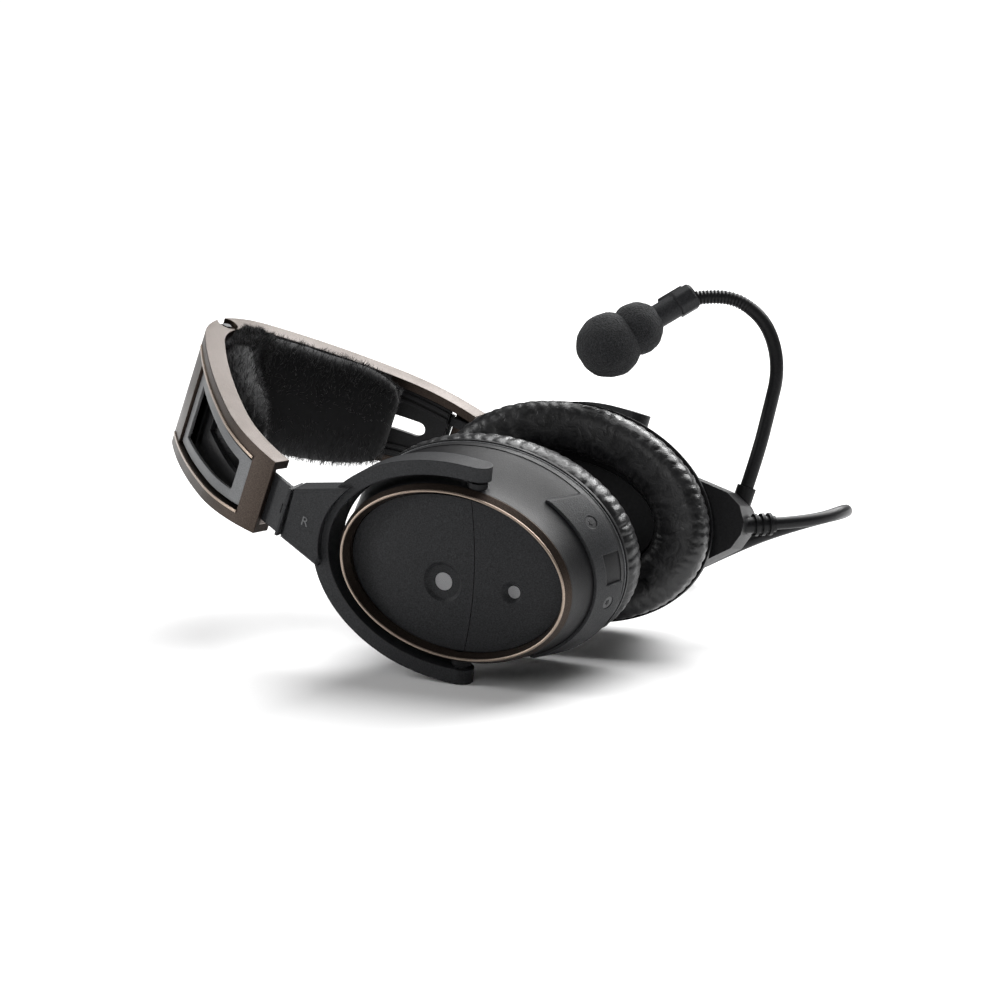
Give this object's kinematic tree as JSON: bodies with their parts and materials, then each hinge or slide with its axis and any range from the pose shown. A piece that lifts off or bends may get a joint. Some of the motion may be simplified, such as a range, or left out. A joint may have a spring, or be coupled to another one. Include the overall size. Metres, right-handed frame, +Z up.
{
  "type": "aviation headset",
  "caption": "Folded aviation headset lying on its side: two ear cups on yokes, hinged headband, boom microphone and coiled lead.",
  "frame": {"origin": "centre of the bounding box on the surface that the headset lies on", "axes": "+Z up, +X from the headband crown to the bottoms of the ear cups, +Y from the right cup to the left cup"},
  "size_m": [0.2364, 0.2091, 0.1219],
  "materials": {
    "bronze_paint": "metallic bronze lacquer on a die casting",
    "silver_paint": "satin silver-grey lacquer",
    "black_plastic": "moulded, fine spark texture",
    "fine_grain_plastic": "moulded, fine grain",
    "grey_plastic": "glass-filled nylon, fine grain",
    "dark_steel": "black oxide",
    "steel_mesh": "woven acoustic mesh",
    "driver_steel": "plated basket and magnet",
    "board_green": "solder mask",
    "black_leather": "soft leatherette over foam",
    "black_fabric": "thin knitted scrim",
    "black_plush": "deep-pile plush over foam",
    "grey_foam": "open-cell foam",
    "black_rubber": "satin elastomer jacket",
    "nickel_plate": "satin nickel"
  },
  "bodies": {
    "band_r": {"band_half_r": "bronze_paint", "band_inlay_r": "silver_paint", "band_inner_cover_r": "black_plastic", "band_screws_r": "dark_steel", "crown_pin": "dark_steel", "crown_springs": "dark_steel", "headband_pad": "black_plush"},
    "band_l": {"band_half_l": "bronze_paint", "band_inlay_l": "silver_paint", "band_inner_cover_l": "black_plastic", "band_screws_l": "dark_steel"},
    "slider_r": {"slider_r": "grey_plastic", "swivel_pin_r": "dark_steel"},
    "yoke_r": {"yoke_r": "grey_plastic", "pivot_pins_r": "dark_steel"},
    "cup_r": {"cup_shell_r": "black_plastic", "face_cover_upper_r": "fine_grain_plastic", "face_cover_lower_r": "fine_grain_plastic", "trim_ring_r": "bronze_paint", "port_meshes_r": "steel_mesh", "baffle_r": "black_plastic", "driver_r": "driver_steel", "circuit_board_r": "board_green", "cushion_ring_r": "black_plastic", "ear_cushion_r": "black_leather", "ear_scrim_r": "black_fabric", "cover_plate": "grey_plastic", "cover_plate_screws": "dark_steel"},
    "slider_l": {"slider_l": "grey_plastic", "swivel_pin_l": "dark_steel"},
    "yoke_l": {"yoke_l": "grey_plastic", "pivot_pins_l": "dark_steel"},
    "cup_l": {"cup_shell_l": "black_plastic", "face_cover_upper_l": "fine_grain_plastic", "face_cover_lower_l": "fine_grain_plastic", "trim_ring_l": "bronze_paint", "port_meshes_l": "steel_mesh", "baffle_l": "black_plastic", "driver_l": "driver_steel", "circuit_board_l": "board_green", "cushion_ring_l": "black_plastic", "ear_cushion_l": "black_leather", "ear_scrim_l": "black_fabric", "module_housing": "black_plastic", "module_screws": "dark_steel", "strain_relief": "black_rubber", "cord_lead": "black_rubber", "cord_coil": "black_rubber", "plug": "nickel_plate"},
    "boom": {"boom_hub": "black_plastic", "boom_tube": "black_rubber", "mic_holder": "grey_plastic", "mic_capsule": "dark_steel", "mic_windscreen": "grey_foam"}
  },
  "joints": [
    {"name": "crown_hinge", "type": "hinge", "parent": "band_r", "child": "band_l", "pos_m": [-0.0991, 0.01671, 0.08107], "axis": [0.3369, -0.0254, 0.9412], "range_deg": [0, 28], "stiffness_Nm_per_rad": 0.4, "springref_deg": -11.46},
    {"name": "slider_r_slide", "type": "slide", "parent": "band_r", "child": "slider_r", "axis": [0.8411, -0.4412, -0.313], "range_m": [-0.0078, 0.01]},
    {"name": "slider_l_slide", "type": "slide", "parent": "band_l", "child": "slider_l", "axis": [0.9384, 0.0908, -0.3334], "range_m": [0, 0.018]},
    {"name": "yoke_r_swivel", "type": "hinge", "parent": "slider_r", "child": "yoke_r", "pos_m": [-0.03052, -0.0599, 0.05446], "axis": [-0.9402, 0.0434, 0.3377], "range_deg": [-2, 18]},
    {"name": "yoke_l_swivel", "type": "hinge", "parent": "slider_l", "child": "yoke_l", "pos_m": [-0.01552, 0.06281, 0.0524], "axis": [0.8902, -0.317, -0.3272], "range_deg": [-2, 16]},
    {"name": "cup_r_tilt", "type": "hinge", "parent": "yoke_r", "child": "cup_r", "pos_m": [0.03456, -0.05913, 0.03862], "axis": [0.1301, -0.0805, 0.9882], "range_deg": [-2, 3]},
    {"name": "cup_l_tilt", "type": "hinge", "parent": "yoke_l", "child": "cup_l", "pos_m": [0.04542, 0.03904, 0.03796], "axis": [-0.2046, -0.2551, -0.945], "range_deg": [0, 21]},
    {"name": "boom_swing", "type": "hinge", "parent": "cup_l", "child": "boom", "pos_m": [0.092, 0.03754, 0.04203], "axis": [-0.0828, 0.9665, -0.2429], "range_deg": [-9, 55]}
  ]
}
